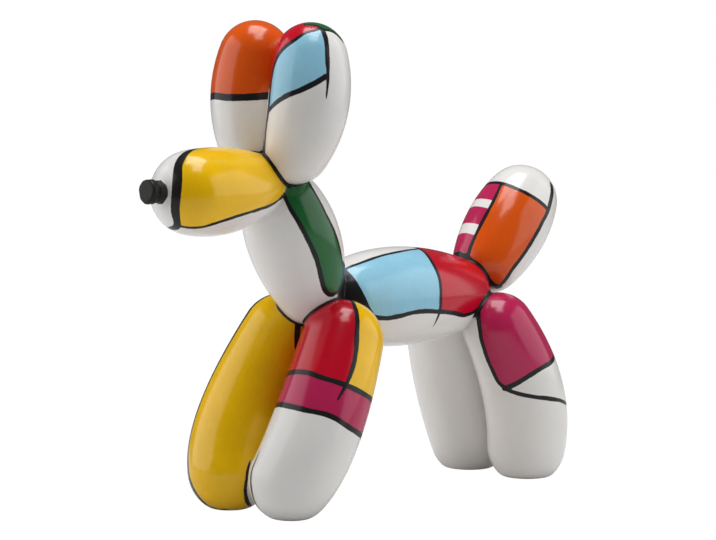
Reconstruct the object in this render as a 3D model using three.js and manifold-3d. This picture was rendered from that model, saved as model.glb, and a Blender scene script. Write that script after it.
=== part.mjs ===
// Balloon poodle: a tabletop figure cast in resin as one piece, in the shape of a dog twisted from
// one long modelling balloon. Millimetres, +Z up. The dog faces -X, and its left side faces -Y.
import * as THREE from "three";
import * as BufferGeometryUtils from "three/addons/utils/BufferGeometryUtils.js";
import Module from "manifold-3d";

// ---- Driving dimensions ---------------------------------------------------------------------
// Each balloon bubble is the space swept by a ball whose centre runs through three points, and
// whose radius changes evenly through three values. Points are x (from the middle of the dog's
// length), y (as the distance from the middle plane) and z (height above the table).

// The head is a pear: full at the muzzle, and slimmer where it is pinched between the ears.
const HEAD = { centres: [[-144.5, 0, 200], [-117, 0, 200], [-90, 0, 202.5]], radii: [25.5, 25.5, 17.5] };

// Each ear stands nearly upright, and leans on its neighbour along the middle plane.
const EAR = { centres: [[-75.2, 18.5, 222.5], [-71.7, 24.5, 250], [-68.7, 23.5, 277.5]], radii: [20, 24.5, 22.5] };

// The neck slopes back and down from under the ears.
const NECK = { centres: [[-67.5, 0, 184], [-56, 0, 161], [-44, 0, 134]], radii: [26, 28.5, 21] };

// The body is the one level bubble.
const BODY = { centres: [[-7, 0, 125], [38, 0, 124], [90, 0, 121]], radii: [26, 31.5, 24] };

// The tail stands up and back from the rump.
const TAIL = { centres: [[124, 0, 142], [141, 0, 160.5], [156, 0, 177.5]], radii: [23, 27, 24] };

// Front and hind legs: hip, belly of the bubble, and foot. The bellies bow a little outwards.
const FRONT_LEG = { centres: [[-40.5, 24.4, 104.5], [-69, 30.4, 55], [-85.5, 25, 23.5]], radii: [25.5, 27.8, 26] };
const FAR_LEG_STEP = [-1.2, 1.4, 0];  // the right front leg stands this much further forward and out
const HIND_LEG = { centres: [[106, 25, 100], [125.2, 29.5, 59], [135.2, 25, 20]], radii: [23, 26.5, 25.5] };

// Nose: the tied end of the balloon, a barrel with a rolled lip.
const KNOT_BARREL_RADIUS = 6.5;
const KNOT_GROOVE_RADIUS = 5.6;
const KNOT_LIP_RADIUS = 7.6;
const KNOT_LENGTH = 10.4;         // from the tip of the muzzle to the end of the lip
const KNOT_ROOT_DEPTH = 7;        // how far the barrel runs into the muzzle
const KNOT_RISE = 1.6;            // height of the knot's root above the muzzle's centre line
const KNOT_TILT = 5;              // degrees the knot looks upwards
const KNOT_TURN = 4;              // degrees the knot looks to the dog's right

// Facets of the solid
const SIDES = 26;                 // round a bubble
const SPINE_RINGS = 8;            // along a bubble
const CAP_RINGS = 5;              // over each rounded end
const KNOT_SIDES = 20;

// ---- One bubble -----------------------------------------------------------------------------
// Value at share t of the way through three values.
function through([first, middle, last], t) {
  const early = first * (1 - t) * (1 - 2 * t);
  const half = middle * 4 * t * (1 - t);
  const late = last * t * (2 * t - 1);
  return early + half + late;
}

function centreAt(centres, t) {
  return new THREE.Vector3(
    through(centres.map((point) => point[0]), t),
    through(centres.map((point) => point[1]), t),
    through(centres.map((point) => point[2]), t),
  );
}

// Direction of the spine at t, and how fast the radius grows along it.
function slopeAt(bubble, t) {
  const step = 0.001;
  const ahead = centreAt(bubble.centres, t + step);
  const behind = centreAt(bubble.centres, t - step);
  const run = ahead.clone().sub(behind);
  const growth = (through(bubble.radii, t + step) - through(bubble.radii, t - step)) / run.length();
  return { direction: run.normalize(), growth };
}

// Rings of a bubble: the ball's rounded start, its envelope along the spine, its rounded end.
function bubbleRings(bubble) {
  const rings = [];
  const addRing = (t, polarAngle, direction) => {
    const radius = through(bubble.radii, t);
    const centre = centreAt(bubble.centres, t).addScaledVector(direction, radius * Math.cos(polarAngle));
    rings.push({ centre, radius: radius * Math.sin(polarAngle), direction });
  };
  const start = slopeAt(bubble, 0);
  const end = slopeAt(bubble, 1);
  // polar angles are measured from the spine's direction
  const startEdge = Math.acos(-start.growth);
  for (let ring = 0; ring < CAP_RINGS; ring += 1) {
    addRing(0, Math.PI - (Math.PI - startEdge) * (ring / CAP_RINGS), start.direction);
  }
  for (let ring = 0; ring <= SPINE_RINGS; ring += 1) {
    const t = ring / SPINE_RINGS;
    const slope = slopeAt(bubble, t);
    addRing(t, Math.acos(-slope.growth), slope.direction);
  }
  const endEdge = Math.acos(-end.growth);
  for (let ring = CAP_RINGS - 1; ring >= 0; ring -= 1) {
    addRing(1, endEdge * (ring / CAP_RINGS), end.direction);
  }
  return rings;
}

// Closed mesh through the rings. The first and last rings are single points.
function bubbleGeometry(bubble) {
  const rings = bubbleRings(bubble);
  const positions = [];
  const indices = [];
  const sideways = new THREE.Vector3(0, 1, 0);
  const last = rings.length - 1;
  rings.forEach(({ centre, radius, direction }, index) => {
    const across = sideways.clone().addScaledVector(direction, -sideways.dot(direction)).normalize();
    const upright = new THREE.Vector3().crossVectors(direction, across);
    const points = index === 0 || index === last ? 1 : SIDES;
    for (let side = 0; side < points; side += 1) {
      const angle = (2 * Math.PI * side) / SIDES;
      const point = centre.clone();
      if (points > 1) {
        point.addScaledVector(across, radius * Math.cos(angle));
        point.addScaledVector(upright, radius * Math.sin(angle));
      }
      positions.push(point.x, point.y, point.z);
    }
  });
  const vertex = (ring, side) => 1 + (ring - 1) * SIDES + (side % SIDES);
  const lastVertex = positions.length / 3 - 1;
  for (let side = 0; side < SIDES; side += 1) {
    indices.push(0, vertex(1, side + 1), vertex(1, side));
    for (let ring = 1; ring < last - 1; ring += 1) {
      indices.push(vertex(ring, side), vertex(ring, side + 1), vertex(ring + 1, side + 1));
      indices.push(vertex(ring, side), vertex(ring + 1, side + 1), vertex(ring + 1, side));
    }
    indices.push(vertex(last - 1, side), vertex(last - 1, side + 1), lastVertex);
  }
  const geometry = new THREE.BufferGeometry();
  geometry.setAttribute("position", new THREE.Float32BufferAttribute(positions, 3));
  geometry.setIndex(indices);
  return geometry;
}

// The same bubble on the dog's other side.
function otherSide(bubble) {
  return { centres: bubble.centres.map(([x, y, z]) => [x, -y, z]), radii: bubble.radii };
}

function moved(bubble, [dx, dy, dz]) {
  return { centres: bubble.centres.map(([x, y, z]) => [x + dx, y + dy, z + dz]), radii: bubble.radii };
}

// ---- Nose knot ------------------------------------------------------------------------------
function knotGeometry() {
  const lipStart = KNOT_LENGTH * 0.46;
  const lipMiddle = (lipStart + KNOT_LENGTH) / 2;
  const profile = [
    [0, -KNOT_ROOT_DEPTH],
    [KNOT_BARREL_RADIUS, -KNOT_ROOT_DEPTH],
    [KNOT_BARREL_RADIUS, lipStart - 1.6],
    [KNOT_GROOVE_RADIUS, lipStart - 0.6],
    [KNOT_GROOVE_RADIUS, lipStart + 0.1],
    [KNOT_LIP_RADIUS - 0.7, lipStart + 0.8],
    [KNOT_LIP_RADIUS, lipMiddle - 0.6],
    [KNOT_LIP_RADIUS, lipMiddle + 1.2],
    [KNOT_LIP_RADIUS - 1, KNOT_LENGTH - 0.5],
    [KNOT_LIP_RADIUS - 2.6, KNOT_LENGTH],
    [KNOT_LIP_RADIUS - 4.6, KNOT_LENGTH - 0.7],
    [0, KNOT_LENGTH - 0.9],
  ].map(([radius, along]) => new THREE.Vector2(radius, along));
  const geometry = new THREE.LatheGeometry(profile, KNOT_SIDES);
  const tilt = (KNOT_TILT * Math.PI) / 180;
  const muzzle = HEAD.centres[0];
  geometry.rotateZ(Math.PI / 2);
  geometry.rotateY(tilt);
  geometry.translate(-HEAD.radii[0], 0, KNOT_RISE);
  geometry.rotateZ((-KNOT_TURN * Math.PI) / 180);
  geometry.translate(muzzle[0], 0, muzzle[2]);
  return geometry;
}

// ---- Joining and cutting --------------------------------------------------------------------
const wasm = await Module();
wasm.setup();

function toSolid(geometry) {
  const bare = geometry.clone();
  bare.deleteAttribute("normal");
  bare.deleteAttribute("uv");
  const merged = BufferGeometryUtils.mergeVertices(bare, 1e-4);
  return new wasm.Manifold(new wasm.Mesh({
    numProp: 3,
    vertProperties: new Float32Array(merged.attributes.position.array),
    triVerts: new Uint32Array(merged.index.array),
  }));
}

function toGeometry(solid) {
  const mesh = solid.getMesh();
  const geometry = new THREE.BufferGeometry();
  geometry.setAttribute("position", new THREE.BufferAttribute(new Float32Array(mesh.vertProperties), 3));
  geometry.setIndex(new THREE.BufferAttribute(new Uint32Array(mesh.triVerts), 1));
  const faceted = geometry.toNonIndexed();
  faceted.computeVertexNormals();
  return faceted;
}

const bubbles = [HEAD, NECK, BODY, TAIL, EAR, moved(FRONT_LEG, FAR_LEG_STEP), HIND_LEG];
const pairs = [EAR, FRONT_LEG, HIND_LEG].map(otherSide);
let cast = toSolid(knotGeometry());
for (const bubble of [...bubbles, ...pairs]) {
  cast = cast.add(toSolid(bubbleGeometry(bubble)));
}

// The feet are ground flat on the table plane.
const BELOW_TABLE = 60;
const table = new THREE.BoxGeometry(600, 300, BELOW_TABLE);
table.translate(0, 0, -BELOW_TABLE / 2);
cast = cast.subtract(toSolid(table));

const poodle = new THREE.Mesh(
  toGeometry(cast),
  new THREE.MeshStandardMaterial({ color: 0xe9e7e2, roughness: 0.25, metalness: 0 }),
);
poodle.name = "balloon_poodle";

const group = new THREE.Group();
group.name = "balloon_poodle_figure";
group.add(poodle);
export default group;
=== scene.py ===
"""Painted balloon poodle: the looks of a glossy cast-resin figurine, its floor, lights and camera."""
import math

import bmesh
import bpy
import numpy as np
from mathutils import Matrix
from mathutils import Vector


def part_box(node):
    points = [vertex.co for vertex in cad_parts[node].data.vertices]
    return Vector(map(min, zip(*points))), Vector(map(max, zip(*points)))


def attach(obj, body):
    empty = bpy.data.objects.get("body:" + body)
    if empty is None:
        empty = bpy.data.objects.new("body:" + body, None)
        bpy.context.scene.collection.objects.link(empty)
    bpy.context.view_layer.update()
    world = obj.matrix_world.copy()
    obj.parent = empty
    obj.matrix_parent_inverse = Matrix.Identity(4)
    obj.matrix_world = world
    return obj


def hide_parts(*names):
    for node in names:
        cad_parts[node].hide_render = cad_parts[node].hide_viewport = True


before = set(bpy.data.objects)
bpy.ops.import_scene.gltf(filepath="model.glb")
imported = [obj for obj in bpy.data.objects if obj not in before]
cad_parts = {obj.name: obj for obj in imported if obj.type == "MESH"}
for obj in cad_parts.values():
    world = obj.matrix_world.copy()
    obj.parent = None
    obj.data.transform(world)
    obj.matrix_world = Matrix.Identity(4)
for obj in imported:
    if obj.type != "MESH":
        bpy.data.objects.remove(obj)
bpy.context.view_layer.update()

bl_info = {
    "name": "Painted balloon poodle",
    "version": (1, 0, 0),
    "blender": (4, 5, 0),
    "location": "3D Viewport > Sidebar > Balloon poodle",
    "description": "A glossy painted balloon-dog figurine with its floor, lights and camera",
    "category": "Object",
}

# ---- The frame -------------------------------------------------------------------------------
NODE = "balloon_poodle"
LOW, HIGH = [Vector(corner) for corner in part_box(NODE)]

# The shape below is in design millimetres, where the figure reaches from the nose to the rump in x.
DESIGN_NOSE = -180.8
DESIGN_RUMP = 179.8
DESIGN_SIDE_STEP = 0.7
MM = (HIGH.x - LOW.x) / (DESIGN_RUMP - DESIGN_NOSE)
MIDDLE = Vector((LOW.x - DESIGN_NOSE * MM, (LOW.y + HIGH.y) / 2 - DESIGN_SIDE_STEP * MM, LOW.z))

# ---- Shape: the balloon's bubbles ------------------------------------------------------------
# Each bubble is swept by a ball. Its centre runs through three points and its radius through three
# values. The dog faces -X and its left side faces -Y. Paired bubbles are given for the right side.
SINGLE_BUBBLES = {
    "head": (((-144.5, 0, 200), (-117, 0, 200), (-90, 0, 202.5)), (25.5, 25.5, 17.5)),
    "neck": (((-67.5, 0, 184), (-56, 0, 161), (-44, 0, 134)), (26, 28.5, 21)),
    "body": (((-7, 0, 125), (38, 0, 124), (90, 0, 121)), (26, 31.5, 24)),
    "tail": (((124, 0, 142), (141, 0, 160.5), (156, 0, 177.5)), (23, 27, 24)),
}
PAIRED_BUBBLES = {
    "ear": (((-75.2, 18.5, 222.5), (-71.7, 24.5, 250), (-68.7, 23.5, 277.5)), (20, 24.5, 22.5)),
    "front_leg": (((-40.5, 24.4, 104.5), (-69, 30.4, 55), (-85.5, 25, 23.5)), (25.5, 27.8, 26)),
    "hind_leg": (((106, 25, 100), (125.2, 29.5, 59), (135.2, 25, 20)), (23, 26.5, 25.5)),
}
# The right front leg stands this much further forward and out than the left.
RIGHT_LEG_STEP = (-1.2, 1.4, 0.0)

# Nose: the tied end of the balloon, a short barrel and a rolled lip.
KNOT_ROOT = (-169.9, 1.8, 201.6)
KNOT_TILT = math.radians(5)
KNOT_TURN = math.radians(4)
KNOT_BARREL = {"radius": 6.6, "start": -7.0, "end": 4.4, "rounding": 1.5}
KNOT_LIP = {"radius": 7.3, "start": 5.0, "end": 10.5, "rounding": 1.7}
KNOT_AXIS = (
    -math.cos(KNOT_TILT) * math.cos(KNOT_TURN),
    math.cos(KNOT_TILT) * math.sin(KNOT_TURN),
    math.sin(KNOT_TILT),
)

# ---- Paint: brush lines and colour fields ----------------------------------------------------
# A place on a bubble is (millimetres along it from its first end, degrees round it). On every bubble
# 0 degrees is the dog's left, 90 its top or front, 180 its right and -90 its underside or back.
# A brush line has a bubble, its widths at its start, middle and end in millimetres, and its stops.
# A width of nothing is a bare edge between two colours.
BRUSH_LINES = {
    # ears
    "right ear ring": ("ear_right", (4, 4.4, 4), [
        (49.5, -190), (50.5, -140), (49, -90), (50.5, -40), (51.5, 15), (49.5, 45), (49, 75),
        (50.5, 110), (49.5, 150),
        (49.5, 190)]),
    "ear front": ("ear_left", (4.8, 3.8, 1.5), [
        (10, 119), (28, 123), (42, 120), (52, 121), (62, 121), (70, 118), (77.5, 106), (82, 91),
        (86.3, 71), (89.8, 54),
        (91.4, 35), (92.8, 19)]),
    "ear rear": ("ear_left", (3.0, 2.8, 0.8), [(92.8, 18), (85, 19), (76, 21), (64, 21.5), (54, 22)]),
    "ear lower": ("ear_left", (3.6, 3.2, 2.8), [
        (65, 25), (62, 37), (58, 54), (54, 74), (49.5, 92), (44.5, 108), (41, 118)]),
    "ear crown": ("ear_left", (1.4, 2.6, 1.4), [
        (95.5, 60), (94.5, 25), (92, 12), (91.5, -2), (90, -13), (87, -21), (85, -27)]),
    "ear back": ("ear_left", (2.0, 2.6, 2.4), [(56, 121), (61, 150), (68, 180), (79, 205), (90, 225)]),
    "ear crown back": ("ear_left", (1.4, 2.2, 2.4), [(85, -27), (89, -50), (91.5, -90), (90, -135)]),
    "ear parting": ("ear_left", (0.8, 1.6, 2.0), [(95.5, 60), (98.3, 90), (95.5, -135), (90, -135)]),
    # head
    "muzzle band": ("head", (1.2, 6.2, 2.6), [
        (36, 98), (21, 87), (12, 79), (7.6, 71), (4.4, 54), (2.2, 5), (3.4, -48), (9, -76),
        (13.5, -110)]),
    "cheek line": ("head", (2.2, 2.4, 2.6), [
        (8.8, -76), (18, -53), (28.5, -38), (42, -28.5), (59, -25.5), (70, -27), (80, -27.5),
        (89, -20)]),
    "crown line": ("head", (2.2, 1.8, 1.6), [(24, 99), (40, 106), (60, 109), (78, 106)]),
    # neck
    "collar left": ("neck", (2.6, 3.2, 3.2), [
        (7, 28), (15, 29), (26, 26), (37, 24), (50, 22), (66, 22), (75, 20), (79.5, 13), (80.8, 6)]),
    "collar right": ("neck", (2.0, 2.2, 2.4), [
        (10, -40), (15, -26), (22, -21), (32, -18), (44, -20), (60, -21.5), (70, -22), (78, -15),
        (81, -4), (80.8, 6)]),
    "neck patch": ("neck", (0, 0, 0), [(62, -20), (67, -30), (75, -46), (86, -58), (97, -64)]),
    # body
    "saddle front": ("body", (2.0, 3.2, 2.6), [(12, 69), (11.5, 40), (13, 14), (16, -5), (21, -19)]),
    "saddle top": ("body", (2.0, 2.2, 2.0), [
        (11, 70), (24, 67), (40, 68), (58, 70), (70, 73), (81, 77)]),
    "saddle rear": ("body", (2.4, 2.8, 2.8), [
        (78, 190), (80, 130), (81, 100), (80.3, 74), (77.5, 51), (76.5, 22), (75.5, 4), (76, -15)]),
    "saddle tick": ("body", (2.6, 1.8, 0.6), [(76, -12), (75.5, -22), (75, -34)]),
    "belly line": ("body", (3.2, 3.0, 3.0), [
        (19, -18), (30, -20), (41, -17), (52, -13), (76, -14), (93, -18), (105, -23), (113, -22),
        (121, -16)]),
    "right saddle top": ("body", (2.0, 2.2, 2.0), [
        (11, 112), (30, 111), (50, 109), (68, 106), (81, 102)]),
    "right belly line": ("body", (3.0, 3.0, 3.0), [
        (19, 198), (41, 197), (76, 194), (93, 198), (105, 203), (121, 196)]),
    "right saddle front": ("body", (2.6, 3.0, 2.6), [(12, 110), (12, 140), (13, 166), (21, 199)]),
    # left front leg
    "leg ring": ("front_leg_left", (3.6, 3.4, 3.6), [
        (59, -190), (59, -120), (58, -45), (60, 3), (60.5, 35), (60.5, 60), (59.2, 78), (58.5, 100),
        (58, 130), (59, 190)]),
    "leg second ring": ("front_leg_left", (3.8, 3.4, 3.8), [
        (80, -190), (80, -120), (80, -40), (81.2, 5), (80.2, 35), (81.5, 66), (81.3, 85), (80.3, 110),
        (79.5, 135),
        (80, 190)]),
    "leg seam": ("front_leg_left", (2.2, 3.3, 1.4), [
        (2, 55), (10, 40), (19, 34), (29, 30), (38, 26), (48, 24.5), (57, 26), (64, 29), (70, 32)]),
    "leg back seam": ("front_leg_left", (3.0, 3.2, 3.0), [(2, -165), (30, -163), (59, -165)]),
    "foot edge": ("front_leg_left", (0.8, 2.6, 2.2), [
        (112, 117), (120, 114.5), (126, 112), (131, 107), (136, 101), (141, 95), (144, 84)]),
    # right front leg
    "right leg outline": ("front_leg_right", (3.6, 4.0, 3.4), [
        (2, 112), (14, 117), (34, 121), (55, 123), (80, 125), (101, 127), (115, 128), (130, 132),
        (140, 150)]),
    "right leg inner": ("front_leg_right", (1.0, 2.4, 2.0), [
        (123, 21), (128.8, 23.5), (133.2, 22.5), (138.9, 17), (142.2, -6), (141.5, -60)]),
    "right leg rear": ("front_leg_right", (3.0, 3.4, 3.0), [
        (2, 215), (30, 220), (70, 224), (110, 222), (132, 214), (142, 200)]),
    "right leg inside": ("front_leg_right", (2.4, 3.0, 0.3), [
        (2, -60), (40, -62), (90, -60), (116, -34), (123, 21)]),
    # A black line painted as the shade where the right leg's shoulder goes behind the left leg.
    "shoulder painted shade": ("front_leg_right", (3.0, 4.2, 1.2), [
        (14, 32), (19, 29), (23.5, 25), (28, 21), (33.5, 16)]),
    # hind leg
    "thigh front": ("hind_leg_left", (3.2, 3.0, 3.0), [
        (1, 74), (12, 73), (21, 77), (32, 80), (42, 79), (50, 76), (55, 68)]),
    "thigh lower": ("hind_leg_left", (3.6, 3.2, 3.0), [
        (55, 70), (54, 58), (51.3, 30), (50.8, 9), (52.3, -20), (52.5, -36), (51, -60), (49, -85),
        (48, -108)]),
    "thigh rear": ("hind_leg_left", (3.0, 3.2, 2.8), [(48, -108), (36, -110), (20, -112), (2, -115)]),
    "shin line": ("hind_leg_left", (3.0, 2.6, 2.0), [
        (55, 70), (57.5, 62), (61, 50), (64.5, 36), (69.5, 14), (75.5, -11), (80, -27), (83, -42),
        (84, -52)]),
    # tail
    "tail front": ("tail", (2.4, 2.6, 3.0), [
        (66, 84), (58, 81), (50, 79), (36, 79.5), (22, 81.5), (2, 86)]),
    "tail top": ("tail", (2.4, 2.6, 2.8), [
        (67, 148), (66.5, 116), (66, 85), (65.3, 66), (65.4, 40), (66.2, 4)]),
    "tail rear": ("tail", (4.4, 3.2, 3.4), [
        (85, 3), (77, 0), (66, -2), (54, -1), (42, -2), (30, -4), (17, -7), (6, -31)]),
    "tail hem": ("tail", (3.0, 3.4, 3.6), [
        (10, 84), (7, 66), (5.2, 42), (4.2, 12), (4.6, -12), (7.2, -31)]),
    "tail right": ("tail", (2.0, 2.4, 2.4), [(68, 146), (50, 144), (30, 145), (6, 148)]),
}

# Stretches of a line that edge one field only: the line, and how far it goes along or round.
LINE_PARTS = {
    "ear front upper": ("ear front", "along", 38, 200),
    "ear front red": ("ear front", "along", 58, 200),
    "ear rear top": ("ear rear", "along", 64, 200),
    "muzzle band yellow": ("muzzle band", "round", -84, 98),
    "belly line saddle": ("belly line", "along", 20, 76),
    "belly line rump": ("belly line", "along", 76, 200),
    "right belly line rump": ("right belly line", "along", 76, 200),
    "saddle rear left": ("saddle rear", "round", -40, 76),
    "saddle rear right": ("saddle rear", "round", 76, 250),
    "leg seam upper": ("leg seam", "along", -5, 60),
    "leg ring front": ("leg ring", "round", 26, 190),
    "leg ring rear": ("leg ring", "round", -165, 26),
    "tail rear low": ("tail rear", "along", -5, 65),
    "tail top front": ("tail top", "round", 3, 84),
}

# Colour fields: a pigment, a bubble, and the outline. A name is a brush line ("~" runs it backwards)
# and a pair is a corner, which may lie past the bubble's end or seam.
COLOUR_FIELDS = [
    ("orange", "ear_right", ["right ear ring", (130, 190), (130, -190)]),
    ("sky", "ear_left", ["~ear lower", "~ear rear top", "~ear front upper"]),
    ("red", "ear_left", ["ear front red", (96, 23), (130, 23), (130, 225), "~ear back"]),
    ("green", "ear_left", ["ear crown", "ear crown back", (130, -135), (130, 60)]),
    ("yellow", "head", [
        "~cheek line", "~muzzle band yellow", "crown line", (95, 110), (130, 110), (130, -16)]),
    ("green", "neck", ["collar left", "~collar right", (0, -40), (0, 30)]),
    ("black", "neck", ["neck patch", (120, -64), (120, -4), (82, -4), (79, -15), (70, -22)]),
    ("sky", "body", ["saddle front", "belly line saddle", "~saddle rear left", "~saddle top"]),
    ("red", "body", [
        "saddle rear left", "belly line rump", (160, -16), (160, 196), "~right belly line rump",
        "~saddle rear right"]),
    ("black", "body", [(8, 96), "saddle front", (-30, -19), (-30, 96)]),
    ("red", "front_leg_left", [
        (-40, 60), "leg seam upper", "leg ring front", (59, 195), (30, 197), (-40, 195)]),
    ("yellow", "front_leg_left", [
        (-40, 60), "leg seam upper", "~leg ring rear", (59, -165), (30, -163), (-40, -165)]),
    ("magenta", "front_leg_left", ["leg ring", "~leg second ring"]),
    ("yellow", "front_leg_right", [
        (-40, -60), "right leg inside", "right leg inner", (190, -40), (190, 150),
        "~right leg outline", (-40, 112)]),
    ("green", "front_leg_right", [
        "right leg outline", (190, 150), (190, 200), "~right leg rear", (-40, 215), (-40, 112)]),
    ("magenta", "hind_leg_left", ["thigh front", "thigh lower", "thigh rear", (-40, -115), (-40, 74)]),
    ("orange", "tail", ["tail front", (-40, 86), (-40, -31), "~tail rear low", "~tail top front"]),
    ("black", "tail", [(12, 80), "tail stripe 0", (-40, 146), (-40, 80)]),
]

# Stripes across the front of the tail, each from one height to the next, in magenta.
TAIL_STRIPES = ((11, 23.5), (31, 44), (50.5, 66))
STRIPE_RISE = 3.2

# Creases between bubbles that are lined in black, and the width of each line in millimetres.
LINED_CREASES = {
    ("head", "ear_left"): 4.0,
    ("head", "ear_right"): 3.4,
    ("ear_left", "ear_right"): 2.6,
    ("ear_left", "neck"): 3.0,
    ("ear_right", "neck"): 2.4,
    ("neck", "front_leg_left"): 3.0,
    ("neck", "front_leg_right"): 3.2,
    ("neck", "body"): 3.0,
    ("body", "front_leg_left"): 2.8,
    ("body", "front_leg_right"): 2.8,
    ("body", "tail"): 4.4,
    ("body", "hind_leg_left"): 4.4,
    ("tail", "hind_leg_left"): 4.4,
    ("front_leg_left", "front_leg_right"): 3.0,
}

# Crease lines that run out downwards: the height where each ends, and how quickly it narrows.
CREASE_ENDS = {
    ("body", "hind_leg_left"): (108, 0.25),
    ("front_leg_left", "front_leg_right"): (66, 0.2),
}

PIGMENTS = ("orange", "yellow", "sky", "red", "magenta", "green")

# ---- Working limits, in design millimetres unless they are counts --------------------------------
SPINE_PLACES = 161
CAP_RINGS = 40
BALLS_PER_BUBBLE = 24
BUBBLE_MARGIN = 12
BEYOND_BUBBLE = 30.0
LINE_SPACING = 0.9
LINE_MARGIN = 9
BEYOND_LINE = 50.0
POINTS_AT_ONCE = 8000
# Paint values stop at this much outside or inside a field.
PAINT_REACH = 12.0
# How far a field, and a line, may run past the crease onto the next bubble.
FIELD_OVERRUN = 0.3
LINE_OVERRUN = 1.2
SEAM_REACH = 4
# The knot's black coat starts this far from its barrel, and its creases have this fillet.
KNOT_COAT = 0.4
KNOT_FILLET = 0.45
FOOT_HEIGHT = 12
LONGEST_MOVE = 2.5
SPLIT_OVER = 1.35
FEWEST_POINTS = 1000


# ---- Small numeric helpers -------------------------------------------------------------------
def through(values, share):
    """Value at a share of the way through three values."""
    early = (1 - share) * (1 - 2 * share)
    half = 4 * share * (1 - share)
    late = share * (2 * share - 1)
    return values[0] * early + values[1] * half + values[2] * late


def run_along(points):
    """Length of a path up to each of its points."""
    steps = np.linalg.norm(np.diff(points, axis=0), axis=1)
    return np.concatenate([[0], np.cumsum(steps)])


def unit(vectors):
    """Vectors of length one."""
    lengths = np.linalg.norm(vectors, axis=-1, keepdims=True)
    return vectors / np.maximum(lengths, 1e-9)


def smooth_path(stops, spacing):
    """Evenly spaced points on a smooth curve through the stops."""
    stops = np.array(stops, dtype=float)
    spans = np.linalg.norm(np.diff(stops, axis=0), axis=1)
    slopes = np.diff(stops, axis=0) / spans[:, None]
    tangents = np.empty_like(stops)
    tangents[0] = slopes[0]
    tangents[-1] = slopes[-1]
    share = (spans[:-1] / (spans[:-1] + spans[1:]))[:, None]
    tangents[1:-1] = slopes[:-1] * (1 - share) + slopes[1:] * share
    pieces = []
    for index, span in enumerate(spans):
        steps = max(2, int(math.ceil(span / spacing)))
        along = np.linspace(0, 1, steps, endpoint=False)[:, None]
        square = along * along
        cube = square * along
        pieces.append(
            stops[index] * (2 * cube - 3 * square + 1)
            + tangents[index] * span * (cube - 2 * square + along)
            + stops[index + 1] * (3 * square - 2 * cube)
            + tangents[index + 1] * span * (cube - square)
        )
    pieces.append(stops[-1:])
    return np.vstack(pieces)


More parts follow.
